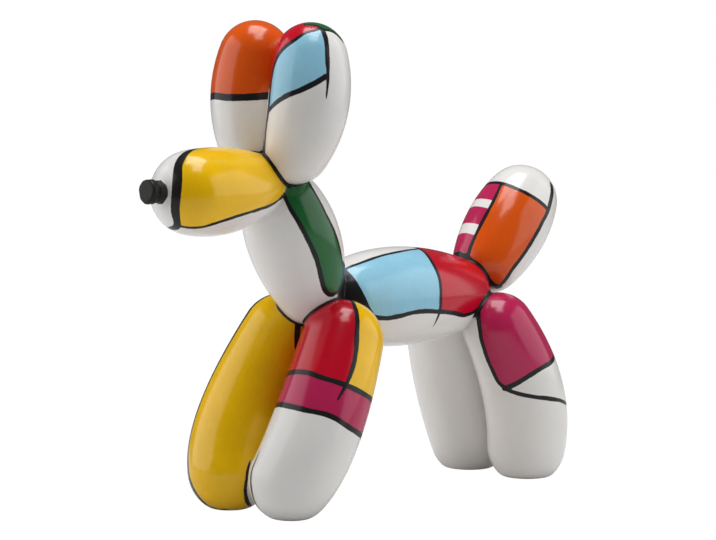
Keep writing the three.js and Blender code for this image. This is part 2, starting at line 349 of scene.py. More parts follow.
# ---- Bubbles ---------------------------------------------------------------------------------
class Bubble:
    """The space swept by a ball, with places on its skin given as millimetres along and degrees round."""

    def __init__(self, centres, radii):
        self.centres = np.array(centres, dtype=float)
        self.radii = np.array(radii, dtype=float)
        self.shares = np.linspace(0, 1, SPINE_PLACES)
        spine = self.centre(self.shares)
        self.run = run_along(spine)
        sideways, upright = self.crossways(np.array([0.5]), 1.0)
        self.facing = 1.0 if upright[0] @ np.array([-1.0, 0.0, 1.0]) > 0 else -1.0
        self.low = spine.min(axis=0) - self.radii.max() - BUBBLE_MARGIN
        self.high = spine.max(axis=0) + self.radii.max() + BUBBLE_MARGIN
        self.make_profile()

    def centre(self, shares):
        return through(self.centres[:, None, :], shares[:, None])

    def radius(self, shares):
        return through(self.radii, shares)

    def slope(self, shares):
        column = shares[:, None]
        first, middle, last = self.centres
        return first * (4 * column - 3) + middle * (4 - 8 * column) + last * (4 * column - 1)

    def growth(self, shares):
        first, middle, last = self.radii
        return first * (4 * shares - 3) + middle * (4 - 8 * shares) + last * (4 * shares - 1)

    def crossways(self, shares, facing):
        """Two directions across the spine: towards the dog's right, and towards its top or front."""
        direction = unit(self.slope(shares))
        sideways = np.array([0.0, 1.0, 0.0]) - direction * direction[:, 1:2]
        sideways = unit(sideways)
        return sideways, np.cross(direction, sideways) * facing

    def make_profile(self):
        """Rings of the skin from one end to the other, to find a place on it."""
        tilt = np.arccos(np.clip(
            -self.growth(self.shares) / np.linalg.norm(self.slope(self.shares), axis=1), -1, 1))
        first_cap = np.linspace(math.pi, tilt[0], CAP_RINGS, endpoint=False)
        last_cap = np.linspace(tilt[-1], 0, CAP_RINGS + 1)[1:]
        shares = np.concatenate([np.zeros(CAP_RINGS), self.shares, np.ones(CAP_RINGS)])
        polar = np.concatenate([first_cap, tilt, last_cap])
        radius = self.radius(shares)
        self.profile_share = shares
        self.profile_lift = radius * np.cos(polar)
        self.profile_ring = radius * np.sin(polar)
        self.profile_along = np.interp(shares, self.shares, self.run) + self.profile_lift + self.radii[0]

    def skin(self, along, around):
        """Points on the skin at places (millimetres along, degrees round)."""
        along = np.asarray(along, dtype=float)
        around = np.radians(np.asarray(around, dtype=float))
        share = np.interp(along, self.profile_along, self.profile_share)
        lift = np.interp(along, self.profile_along, self.profile_lift)
        ring = np.interp(along, self.profile_along, self.profile_ring)
        sideways, upright = self.crossways(share, self.facing)
        across = upright * np.sin(around)[:, None] - sideways * np.cos(around)[:, None]
        return self.centre(share) + unit(self.slope(share)) * lift[:, None] + across * ring[:, None]

    def nearest(self, points):
        """Share of the way along the spine whose ball is nearest, the gap to it, and the way out."""
        coarse = np.linspace(0, 1, 11)
        gaps = np.linalg.norm(points[:, None, :] - self.centre(coarse)[None], axis=2) - self.radius(coarse)
        share = coarse[gaps.argmin(axis=1)]
        bend = 4 * self.centres[0] - 8 * self.centres[1] + 4 * self.centres[2]
        swell = 4 * self.radii[0] - 8 * self.radii[1] + 4 * self.radii[2]
        for _ in range(4):
            offset = points - self.centre(share)
            reach = np.maximum(np.linalg.norm(offset, axis=1), 1e-6)
            slope = self.slope(share)
            lean = (offset * slope).sum(axis=1) / reach
            first = -lean - self.growth(share)
            second = ((slope * slope).sum(axis=1) - lean * lean - (offset @ bend)) / reach - swell
            share = np.clip(share - first / np.maximum(second, 20.0), 0, 1)
        offset = points - self.centre(share)
        reach = np.linalg.norm(offset, axis=1)
        return share, reach - self.radius(share), offset / np.maximum(reach, 1e-6)[:, None]

    def place(self, points):
        """Millimetres along and degrees round of points near the skin."""
        share, _, _ = self.nearest(points)
        offset = points - self.centre(share)
        direction = unit(self.slope(share))
        sideways, upright = self.crossways(share, self.facing)
        along = np.interp(share, self.shares, self.run) + (offset * direction).sum(axis=1) + self.radii[0]
        around = np.degrees(np.arctan2((offset * upright).sum(axis=1), -(offset * sideways).sum(axis=1)))
        return along, around


def make_bubbles():
    """All the balloon's bubbles by name, with the paired ones on both sides."""
    bubbles = {name: Bubble(centres, radii) for name, (centres, radii) in SINGLE_BUBBLES.items()}
    for name, (centres, radii) in PAIRED_BUBBLES.items():
        for side, sign in (("right", 1), ("left", -1)):
            step = RIGHT_LEG_STEP if (name, side) == ("front_leg", "right") else (0, 0, 0)
            placed = [(x + step[0], (y + step[1]) * sign, z + step[2]) for x, y, z in centres]
            bubbles[f"{name}_{side}"] = Bubble(placed, radii)
    return bubbles


# ---- The figure's skin as one smooth surface ---------------------------------------------------
def rounded_barrel(points, part):
    """Gap to a rounded cylinder of the knot, and the way out of it."""
    axis = np.array(KNOT_AXIS)
    offset = points - np.array(KNOT_ROOT)
    lift = offset @ axis
    across = offset - lift[:, None] * axis
    reach = np.maximum(np.linalg.norm(across, axis=1), 1e-6)
    outward = across / reach[:, None]
    turn = np.arctan2(outward[:, 1], outward[:, 2])
    crinkle = 0.28 * np.sin(3 * turn + lift * 0.5) + 0.16 * np.sin(7 * turn - lift * 0.9 + 1.0)
    middle = (part["start"] + part["end"]) / 2
    half = (part["end"] - part["start"]) / 2 - part["rounding"]
    side = reach - crinkle - (part["radius"] - part["rounding"])
    end = np.abs(lift - middle) - half
    beyond_side = np.maximum(side, 0)
    beyond_end = np.maximum(end, 0)
    outer = np.hypot(beyond_side, beyond_end)
    gap = outer + np.minimum(np.maximum(side, end), 0) - part["rounding"]
    along = np.sign(lift - middle)[:, None] * axis
    inside = outer < 1e-6
    way = outward * beyond_side[:, None] + along * beyond_end[:, None]
    way[inside] = np.where((side > end)[inside, None], outward[inside], along[inside])
    return gap, unit(way)


def soft_join(gaps, ways, fillet):
    """Several gaps joined into one surface, with creases filled by about the fillet."""
    nearest = gaps.min(axis=1)
    weights = np.exp(-(gaps - nearest[:, None]) / fillet)
    total = weights.sum(axis=1)
    gap = nearest - fillet * np.log(total)
    way = (weights[:, :, None] * ways).sum(axis=1) / total[:, None]
    return gap, way


class Figure:
    """The whole balloon as one surface, with the filled creases, the knot and the flat feet."""

    def __init__(self, crease_fillet, foot_rounding):
        self.bubbles = make_bubbles()
        self.names = list(self.bubbles)
        self.crease_fillet = crease_fillet
        self.foot_rounding = foot_rounding

    def bubble_gaps(self, points):
        """Gaps to every bubble, and the ways out of them."""
        gaps = np.full((len(points), len(self.names)), BEYOND_BUBBLE)
        ways = np.zeros((len(points), len(self.names), 3))
        for index, name in enumerate(self.names):
            bubble = self.bubbles[name]
            close = np.flatnonzero(((points > bubble.low) & (points < bubble.high)).all(axis=1))
            _, gaps[close, index], ways[close, index] = bubble.nearest(points[close])
        return gaps, ways

    def surface(self, points):
        """Gap to the finished surface and its slope."""
        gaps, ways = self.bubble_gaps(points)
        gap, way = soft_join(gaps, ways, self.crease_fillet)
        near_knot = points[:, 0] < KNOT_ROOT[0] + 14
        if near_knot.any():
            close = points[near_knot]
            barrel, barrel_way = rounded_barrel(close, KNOT_BARREL)
            lip, lip_way = rounded_barrel(close, KNOT_LIP)
            joined = np.stack([gap[near_knot], barrel, lip], axis=1)
            joined_ways = np.stack([way[near_knot], barrel_way, lip_way], axis=1)
            gap[near_knot], way[near_knot] = soft_join(joined, joined_ways, KNOT_FILLET)
        low = points[:, 2] < FOOT_HEIGHT
        if low.any():
            floor_gap = -points[low, 2]
            floor_way = np.tile([0.0, 0.0, -1.0], (low.sum(), 1))
            both = np.stack([-gap[low], -floor_gap], axis=1)
            both_ways = np.stack([-way[low], -floor_way], axis=1)
            cut, cut_way = soft_join(both, both_ways, self.foot_rounding)
            gap[low] = -cut
            way[low] = -cut_way
        return gap, way

    def settle(self, points, rounds=2):
        """Points moved onto the surface, and the surface's normals there."""
        points = points.copy()
        for _ in range(rounds):
            gap, way = self.surface(points)
            steepness = np.maximum((way * way).sum(axis=1), 0.15)
            points -= way * np.clip(gap / steepness, -LONGEST_MOVE, LONGEST_MOVE)[:, None]
        _, way = self.surface(points)
        return points, unit(way)


# ---- Mesh steps ------------------------------------------------------------------------------
def edge_list(triangles, count):
    """Every edge once, and for each triangle the numbers of its three edges."""
    pairs = np.vstack([triangles[:, [0, 1]], triangles[:, [1, 2]], triangles[:, [2, 0]]])
    pairs.sort(axis=1)
    keys = pairs[:, 0].astype(np.int64) * count + pairs[:, 1]
    unique, inverse = np.unique(keys, return_inverse=True)
    edges = np.stack([unique // count, unique % count], axis=1)
    return edges, inverse.reshape(3, -1).T


def relax(figure, points, normals, triangles, rounds):
    """Vertices evened out over the surface."""
    count = len(points)
    edges, _ = edge_list(triangles, count)
    ends = np.concatenate([edges[:, 0], edges[:, 1]])
    others = np.concatenate([edges[:, 1], edges[:, 0]])
    share = np.bincount(ends, minlength=count)
    for _ in range(rounds):
        middle = np.empty_like(points)
        for axis in range(3):
            middle[:, axis] = np.bincount(ends, weights=points[others, axis], minlength=count) / share
        drift = middle - points
        drift -= normals * (drift * normals).sum(axis=1)[:, None]
        points, normals = figure.settle(points + 0.5 * drift, rounds=1)
    return points, normals


def split_long(points, triangles, wanted):
    """Edges longer than wanted are halved, and their triangles divided to match."""
    count = len(points)
    edges, of_triangle = edge_list(triangles, count)
    lengths = np.linalg.norm(points[edges[:, 0]] - points[edges[:, 1]], axis=1)
    limit = np.minimum(wanted[edges[:, 0]], wanted[edges[:, 1]])
    long = lengths > limit * SPLIT_OVER
    middle = np.full(len(edges), -1)
    middle[long] = count + np.arange(long.sum())
    added = (points[edges[long, 0]] + points[edges[long, 1]]) / 2
    halves = middle[of_triangle]
    split = (halves >= 0).sum(axis=1)
    pieces = [triangles[split == 0]]
    for turn in range(3):
        corner = np.roll(triangles, -turn, axis=1)
        half = np.roll(halves, -turn, axis=1)
        one = (split == 1) & (half[:, 0] >= 0)
        pieces.append(np.stack([corner[one, 0], half[one, 0], corner[one, 2]], axis=1))
        pieces.append(np.stack([half[one, 0], corner[one, 1], corner[one, 2]], axis=1))
        two = (split == 2) & (half[:, 2] < 0)
        pieces.append(np.stack([half[two, 0], corner[two, 1], half[two, 1]], axis=1))
        pieces.append(np.stack([corner[two, 0], half[two, 0], half[two, 1]], axis=1))
        pieces.append(np.stack([corner[two, 0], half[two, 1], corner[two, 2]], axis=1))
    full = split == 3
    corner = triangles[full]
    half = halves[full]
    pieces.append(np.stack([corner[:, 0], half[:, 0], half[:, 2]], axis=1))
    pieces.append(np.stack([half[:, 0], corner[:, 1], half[:, 1]], axis=1))
    pieces.append(np.stack([half[:, 2], half[:, 1], corner[:, 2]], axis=1))
    pieces.append(half)
    return np.vstack([points, added]), np.vstack(pieces)


# ---- Paint -----------------------------------------------------------------------------------
class BrushLine:
    """One stroke of the brush on a bubble: its path, its way along and its half width."""

    def __init__(self, bubble, widths, stops):
        along = [stop[0] for stop in stops]
        around = [stop[1] for stop in stops]
        path = smooth_path(bubble.skin(along, around), LINE_SPACING)
        _, gap, way = bubble.nearest(path)
        self.path = path - way * gap[:, None]
        self.along_path = unit(np.gradient(self.path, axis=0))
        run = run_along(self.path)
        self.inked = widths[1] > 0
        self.half_width = through(np.array(widths, dtype=float), run / run[-1]) / 2
        places = bubble.place(self.path)
        turned = np.degrees(np.unwrap(np.radians(places[1])))
        turned += 360 * round((around[0] - turned[0]) / 360)
        self.places = np.stack([places[0], turned], axis=1)

    def distance(self, points):
        """Distance from the stroke's middle, and its half width at the nearest place."""
        distance = np.full(len(points), BEYOND_LINE)
        half_width = np.full(len(points), 0.0)
        low = self.path.min(axis=0) - LINE_MARGIN
        high = self.path.max(axis=0) + LINE_MARGIN
        close = np.flatnonzero(((points > low) & (points < high)).all(axis=1))
        for start in range(0, len(close), POINTS_AT_ONCE):
            part = close[start:start + POINTS_AT_ONCE]
            offset = points[part][:, None, :] - self.path[None]
            squares = (offset * offset).sum(axis=2)
            nearest = squares.argmin(axis=1)
            offset = offset[np.arange(len(part)), nearest]
            lean = (offset * self.along_path[nearest]).sum(axis=1)
            inner = (nearest > 0) & (nearest < len(self.path) - 1)
            lean = np.where(inner, np.clip(lean, -0.6, 0.6), 0)
            left = squares[np.arange(len(part)), nearest] - lean * lean
            distance[part] = np.sqrt(np.maximum(left, 0))
            half_width[part] = self.half_width[nearest]
        return distance, half_width


def inside_outline(along, around, outline):
    """Which places lie inside a closed outline."""
    inside = np.zeros(len(along), dtype=bool)
    starts = outline
    ends = np.roll(outline, -1, axis=0)
    for (a0, r0), (a1, r1) in zip(starts, ends):
        if r0 == r1:
            continue
        crosses = (around >= min(r0, r1)) & (around < max(r0, r1))
        cut = a0 + (around - r0) * (a1 - a0) / (r1 - r0)
        inside ^= crosses & (along < cut)
    return inside


def line_part(line, measure, low, high):
    """Part of a brush line between two places along the bubble, or round it."""
    values = line.places[:, ("along", "round").index(measure)]
    keep = (values >= low) & (values <= high)
    part = object.__new__(BrushLine)
    part.path = line.path[keep]
    part.along_path = line.along_path[keep]
    part.half_width = line.half_width[keep]
    part.places = line.places[keep]
    part.inked = False
    return part


class Paint:
    """All brush lines and colour fields, and how far each point is inside them."""

    def __init__(self, figure, line_scale):
        self.figure = figure
        self.lines = {}
        for name, (bubble, widths, stops) in BRUSH_LINES.items():
            scaled = [width * line_scale for width in widths]
            self.lines[name] = BrushLine(figure.bubbles[bubble], scaled, stops)
        self.fields = [(pigment, bubble, list(outline)) for pigment, bubble, outline in COLOUR_FIELDS]
        for name, (line, measure, low, high) in LINE_PARTS.items():
            self.lines[name] = line_part(self.lines[line], measure, low, high)
        self.add_stripes()
        self.line_scale = line_scale

    def add_stripes(self):
        """The bands across the front of the tail."""
        bubble = self.figure.bubbles["tail"]
        for index, (low, high) in enumerate(TAIL_STRIPES):
            for edge, along in (("", low), (" end", high)):
                stops = [(along, 80), (along + STRIPE_RISE * 0.55, 114), (along + STRIPE_RISE, 146)]
                self.lines[f"tail stripe {index}{edge}"] = BrushLine(bubble, (0, 0, 0), stops)
            self.fields.append(("magenta", "tail", [f"tail stripe {index}", f"~tail stripe {index} end"]))

    def outline_of(self, outline):
        """Corners of a field's outline, and the smooth lines on it."""
        corners = []
        edges = []
        for entry in outline:
            if isinstance(entry, tuple):
                corners.append(np.array([entry], dtype=float))
                continue
            line = self.lines[entry.lstrip("~")]
            places = line.places[::-1] if entry.startswith("~") else line.places
            corners.append(places)
            edges.append(line)
        return np.vstack(corners), edges

    def measure(self, points):
        """For every point, millimetres inside the black lines and inside each pigment."""
        figure = self.figure
        gaps, _ = figure.bubble_gaps(points)
        order = np.sort(gaps, axis=1)
        owner = gaps.argmin(axis=1)
        values = {name: np.full(len(points), -PAINT_REACH) for name in PIGMENTS}
        values["ink"] = np.full(len(points), -PAINT_REACH)
        margins = {}
        places = {}
        for index, name in enumerate(figure.names):
            rest = np.where(owner == index, order[:, 1], order[:, 0])
            margin = rest - gaps[:, index]
            near = np.flatnonzero(margin > -SEAM_REACH)
            margins[name] = (near, margin[near])
            places[name] = figure.bubbles[name].place(points[near])
        for pigment, bubble, outline in self.fields:
            near, margin = margins[bubble]
            along, around = places[bubble]
            corners, edges = self.outline_of(outline)
            inside = np.zeros(len(near), dtype=bool)
            for turn in (-360, 0, 360):
                inside |= inside_outline(along, around + turn, corners)
            distance = np.full(len(near), PAINT_REACH)
            for line in edges:
                distance = np.minimum(distance, line.distance(points[near])[0])
            value = np.minimum(np.where(inside, distance, -distance), margin + FIELD_OVERRUN)
            target = "ink" if pigment == "black" else pigment
            values[target][near] = np.maximum(values[target][near], value)
        for name, line in self.lines.items():
            if not line.inked:
                continue
            bubble = BRUSH_LINES[name][0]
            near, margin = margins[bubble]
            distance, half_width = line.distance(points[near])
            value = np.minimum(half_width - distance, margin + LINE_OVERRUN)
            values["ink"][near] = np.maximum(values["ink"][near], value)
        for (first, second), width in LINED_CREASES.items():
            one = gaps[:, figure.names.index(first)]
            two = gaps[:, figure.names.index(second)]
            away = np.maximum(np.abs(one - two), np.maximum(one, two) - figure.crease_fillet)
            value = width * self.line_scale / 2 - away
            if (first, second) in CREASE_ENDS:
                height, narrowing = CREASE_ENDS[first, second]
                value = np.minimum(value, (points[:, 2] - height) * narrowing)
            values["ink"] = np.maximum(values["ink"], value)
        values["crease"] = order[:, 1] - order[:, 0]
        values["knot"] = np.clip(KNOT_COAT - self.knot_gap(points), -PAINT_REACH, 3)
        return values

    @staticmethod
    def knot_gap(points):
        """Gap to the knot, for its black rubbery coat."""
        barrel, _ = rounded_barrel(points, KNOT_BARREL)
        lip, _ = rounded_barrel(points, KNOT_LIP)
        return np.minimum(barrel, lip)


# ---- Node helpers ----------------------------------------------------------------------------
def add_node(tree, kind, inputs=None, **settings):
    """A node with its settings and its unlinked input values."""
    node = tree.nodes.new(kind)
    for name, value in settings.items():
        setattr(node, name, value)
    for key, value in (inputs or {}).items():
        if isinstance(value, bpy.types.NodeSocket):
            tree.links.new(value, node.inputs[key])
        else:
            node.inputs[key].default_value = value
    return node


def calculate(tree, operation, first, second=0.0, third=0.0, clamp=False):
    """Result of one Math node."""
    inputs = {0: first, 1: second, 2: third}
    return add_node(tree, "ShaderNodeMath", inputs, operation=operation, use_clamp=clamp).outputs[0]


def calculate_vector(tree, operation, first, second):
    """Result of one Vector Math node, where the second value of SCALE is a plain factor."""
    inputs = {0: first, "Scale" if operation == "SCALE" else 1: second}
    return add_node(tree, "ShaderNodeVectorMath", inputs, operation=operation).outputs[0]


def noise(tree, vector, scale, detail):
    """A noise value around one half."""
    node = add_node(tree, "ShaderNodeTexNoise", {"Vector": vector, "Scale": scale, "Detail": detail})
    return node.outputs["Fac"]


def mix_colour(tree, mask, below, above):
    """Two colours mixed by a mask."""
    return add_node(tree, "ShaderNodeMix", {0: mask, 6: below, 7: above}, data_type="RGBA").outputs[2]


def mix_value(tree, mask, below, above):
    """Two values mixed by a mask."""
    return add_node(tree, "ShaderNodeMix", {0: mask, 2: below, 3: above}).outputs[0]


def new_group(name, kind, inputs, outputs):
    """An empty node group with named sockets, and its two end nodes."""
    tree = bpy.data.node_groups.new(name, kind)
    for title, socket_type, default in inputs:
        socket = tree.interface.new_socket(name=title, in_out="INPUT", socket_type=socket_type)
        if default is not None:
            socket.default_value = default
    for title, socket_type in outputs:
        tree.interface.new_socket(name=title, in_out="OUTPUT", socket_type=socket_type)
    return tree, tree.nodes.new("NodeGroupInput"), tree.nodes.new("NodeGroupOutput")


# ---- Geometry Nodes: one balloon bubble --------------------------------------------------------
def bubble_tree():
    """A ball swept through three points, with its radius through three values."""
    tree, given, result = new_group(
        "Balloon bubble", "GeometryNodeTree",
        [
            ("Start", "NodeSocketVector", None),
            ("Middle", "NodeSocketVector", None),
            ("End", "NodeSocketVector", None),
            ("Start Radius", "NodeSocketFloat", 0.02),
            ("Middle Radius", "NodeSocketFloat", 0.02),
            ("End Radius", "NodeSocketFloat", 0.02),
            ("Balls", "NodeSocketInt", BALLS_PER_BUBBLE),
            ("Material", "NodeSocketMaterial", None),
        ],
        [("Geometry", "NodeSocketGeometry")],
    )
    source = given.outputs
    # The curve's handle, so that it passes through the middle point half-way.
    doubled = calculate_vector(tree, "SCALE", source["Middle"], 2.0)
    both_ends = calculate_vector(tree, "ADD", source["Start"], source["End"])
    average = calculate_vector(tree, "SCALE", both_ends, 0.5)
    handle = calculate_vector(tree, "SUBTRACT", doubled, average)
    spine = add_node(tree, "GeometryNodeCurveQuadraticBezier", {
        "Resolution": source["Balls"],
        "Start": source["Start"],
        "Middle": handle,
        "End": source["End"],
    })
    points = add_node(tree, "GeometryNodeCurveToPoints", {"Curve": spine.outputs["Curve"]}, mode="EVALUATED")
    index = add_node(tree, "GeometryNodeInputIndex")
    share = calculate(tree, "DIVIDE", index.outputs[0], source["Balls"])
    ends = calculate(tree, "ADD", source["Start Radius"], source["End Radius"])
    less_ends = calculate(tree, "MULTIPLY", ends, -0.5)
    swell = calculate(tree, "MULTIPLY_ADD", source["Middle Radius"], 2.0, less_ends)
    early = add_node(tree, "ShaderNodeMix", {0: share, 2: source["Start Radius"], 3: swell})
    late = add_node(tree, "ShaderNodeMix", {0: share, 2: swell, 3: source["End Radius"]})
    radius = add_node(tree, "ShaderNodeMix", {0: share, 2: early.outputs[0], 3: late.outputs[0]})
    ball = add_node(tree, "GeometryNodeMeshIcoSphere", {"Radius": 1.0, "Subdivisions": 4})
    placed = add_node(tree, "GeometryNodeInstanceOnPoints", {
        "Points": points.outputs["Points"],
        "Instance": ball.outputs["Mesh"],
        "Scale": radius.outputs[0],
    })
    real = add_node(tree, "GeometryNodeRealizeInstances", {"Geometry": placed.outputs["Instances"]})
    finished = add_node(tree, "GeometryNodeSetMaterial", {
        "Geometry": real.outputs["Geometry"],
        "Material": source["Material"],
    })
    tree.links.new(finished.outputs["Geometry"], result.inputs["Geometry"])
    return tree


def put_in_scene(name, data):
    """A new object in the scene, from its mesh, light or camera."""
    piece = bpy.data.objects.new(name, data)
    bpy.context.scene.collection.objects.link(piece)
    return piece


def evaluated_mesh(piece):
    """Plain mesh of a piece with its modifiers worked out; the piece is then removed."""
    graph = bpy.context.evaluated_depsgraph_get()
    graph.update()
    mesh = bpy.data.meshes.new_from_object(piece.evaluated_get(graph), depsgraph=graph)
    source = piece.data
    bpy.data.objects.remove(piece)
    bpy.data.meshes.remove(source)
    return mesh


def bubble_mesh(tree, name, centres, radii, material):
    """One bubble's rough mesh, from the Geometry Nodes tree."""
    piece = put_in_scene(name, bpy.data.meshes.new(name))
    modifier = piece.modifiers.new("Balloon bubble", "NODES")
    modifier.node_group = tree
    values = {"Balls": BALLS_PER_BUBBLE, "Material": material}
    for place, centre, radius in zip(("Start", "Middle", "End"), centres, radii):
        values[place] = [value * MM for value in centre]
        values[f"{place} Radius"] = radius * MM
    for item in tree.interface.items_tree:
        if item.in_out == "INPUT":
            modifier[item.identifier] = values[item.name]
    return evaluated_mesh(piece)


def rough_figure(figure, material, step):
    """All bubbles and the knot, run together into one closed skin."""
    tree = bubble_tree()
    joined = bmesh.new()
    parts = {name: (bubble.centres, bubble.radii) for name, bubble in figure.bubbles.items()}
    reach = KNOT_LIP["end"] - KNOT_LIP["radius"] + 0.6
    tip = np.array(KNOT_ROOT) + reach * np.array(KNOT_AXIS)
    root = np.array(KNOT_ROOT) + np.array([6.0, 0, 0])
    parts["knot"] = ((root, (root + tip) / 2, tip), (6.2, 6.4, 7.0))
    for name, (centres, radii) in parts.items():
        mesh = bubble_mesh(tree, f"rough_{name}", centres, radii, material)
        joined.from_mesh(mesh)
        bpy.data.meshes.remove(mesh)
    rough = bpy.data.meshes.new("rough_figure")
    joined.to_mesh(rough)
    joined.free()
    piece = put_in_scene("rough_figure", rough)
    remesh = piece.modifiers.new("One skin", "REMESH")
    remesh.mode = "VOXEL"
    remesh.voxel_size = step * MM
    remesh.adaptivity = 0.0
    return evaluated_mesh(piece)


def mesh_arrays(mesh):
    """Vertices in design millimetres, and triangles."""
    points = np.empty(len(mesh.vertices) * 3)
    mesh.vertices.foreach_get("co", points)
    mesh.calc_loop_triangles()
    triangles = np.empty(len(mesh.loop_triangles) * 3, dtype=np.int32)
    mesh.loop_triangles.foreach_get("vertices", triangles)
    return points.reshape(-1, 3) / MM, triangles.reshape(-1, 3).astype(np.int64)


# ---- Materials -------------------------------------------------------------------------------
# Grime and painted shade that darken the creases between bubbles: their colour and strength.
CREASE_GRIME_AND_SHADE_COLOUR = (0.2, 0.17, 0.14, 1)
CREASE_GRIME_AND_SHADE_STRENGTH = 0.45


def brush_edge_group():
    """How much of a painted field covers a point, with the small wobble of a hand-held brush."""
    tree, given, result = new_group(
        "Brush edge", "ShaderNodeTree",
        [
            ("Inside", "NodeSocketFloat", 0.0),
            ("Vector", "NodeSocketVector", None),
            ("Wobble", "NodeSocketFloat", 0.3),
            ("Softness", "NodeSocketFloat", 0.22),
        ],
        [("Mask", "NodeSocketFloat")],
    )
    source = given.outputs
    slow = noise(tree, source["Vector"], 120.0, 1.0)
    quick = noise(tree, source["Vector"], 700.0, 0.0)
    both = calculate(tree, "MULTIPLY_ADD", quick, 0.35, slow)
    centred = calculate(tree, "SUBTRACT", both, 0.675)
    strength = calculate(tree, "MULTIPLY", source["Wobble"], 2.6)
    moved = calculate(tree, "MULTIPLY_ADD", centred, strength, source["Inside"])
    fade = add_node(tree, "ShaderNodeMapRange", interpolation_type="SMOOTHSTEP")
    tree.links.new(moved, fade.inputs["Value"])
    tree.links.new(calculate(tree, "MULTIPLY", source["Softness"], -1.0), fade.inputs["From Min"])
    tree.links.new(source["Softness"], fade.inputs["From Max"])
    tree.links.new(fade.outputs["Result"], result.inputs["Mask"])
    return tree


def brushed_colour_group():
    """A brushed-on colour, a little thicker and thinner from place to place."""
    tree, given, result = new_group(
        "Brushed colour", "ShaderNodeTree",
        [
            ("Colour", "NodeSocketColor", (0.8, 0.8, 0.8, 1)),
            ("Vector", "NodeSocketVector", None),
            ("Variation", "NodeSocketFloat", 0.1),
        ],
        [("Colour", "NodeSocketColor")],
    )
    source = given.outputs
    broad = noise(tree, source["Vector"], 38.0, 2.0)
    streaks = add_node(tree, "ShaderNodeMapping", {"Vector": source["Vector"], "Scale": (1.0, 1.0, 0.22)})
    fine = noise(tree, streaks.outputs[0], 620.0, 2.0)
    both = calculate(tree, "MULTIPLY_ADD", fine, 0.45, broad)
    centred = calculate(tree, "SUBTRACT", both, 0.725)
    strength = calculate(tree, "MULTIPLY", source["Variation"], 2.0)
    value = calculate(tree, "MULTIPLY_ADD", centred, strength, 1.0)
    shade = add_node(tree, "ShaderNodeHueSaturation", {"Color": source["Colour"], "Value": value})
    tree.links.new(shade.outputs["Color"], result.inputs["Colour"])
    return tree


def crease_grime_and_shade_group():
    """Faint grime and painted shade where two bubbles meet, darkest in the crease itself."""
    tree, given, result = new_group(
        "Crease grime and shade", "ShaderNodeTree",
        [
            ("Away", "NodeSocketFloat", 0.0),
            ("Vector", "NodeSocketVector", None),
            ("Reach", "NodeSocketFloat", 3.0),
        ],
        [("Mask", "NodeSocketFloat")],
    )
    source = given.outputs
    patchy = noise(tree, source["Vector"], 160.0, 3.0)
    away = calculate(tree, "DIVIDE", source["Away"], source["Reach"])
    near = calculate(tree, "SUBTRACT", 1.0, away, clamp=True)
    deep = calculate(tree, "MULTIPLY", near, near)
    mask = calculate(tree, "MULTIPLY", deep, patchy, clamp=True)
    tree.links.new(mask, result.inputs["Mask"])
    return tree


def paint_relief_group():
    """Height of the paint: raised lines, faint brush marks and the uneven cast skin below."""
    tree, given, result = new_group(
        "Paint relief", "ShaderNodeTree",
        [
            ("Line", "NodeSocketFloat", 0.0),
            ("Vector", "NodeSocketVector", None),
            ("Line Height", "NodeSocketFloat", 0.5),
        ],
        [("Height", "NodeSocketFloat")],
    )
    source = given.outputs
    skin = noise(tree, source["Vector"], 55.0, 1.0)
    marks = add_node(tree, "ShaderNodeMapping", {"Vector": source["Vector"], "Scale": (1.0, 1.0, 0.3)})
    fine = noise(tree, marks.outputs[0], 900.0, 1.0)
    raised = calculate(tree, "MULTIPLY", source["Line"], source["Line Height"])
    total = calculate(tree, "MULTIPLY_ADD", skin, 0.8, raised)
    total = calculate(tree, "MULTIPLY_ADD", fine, 0.05, total)
    tree.links.new(total, result.inputs["Height"])
    return tree


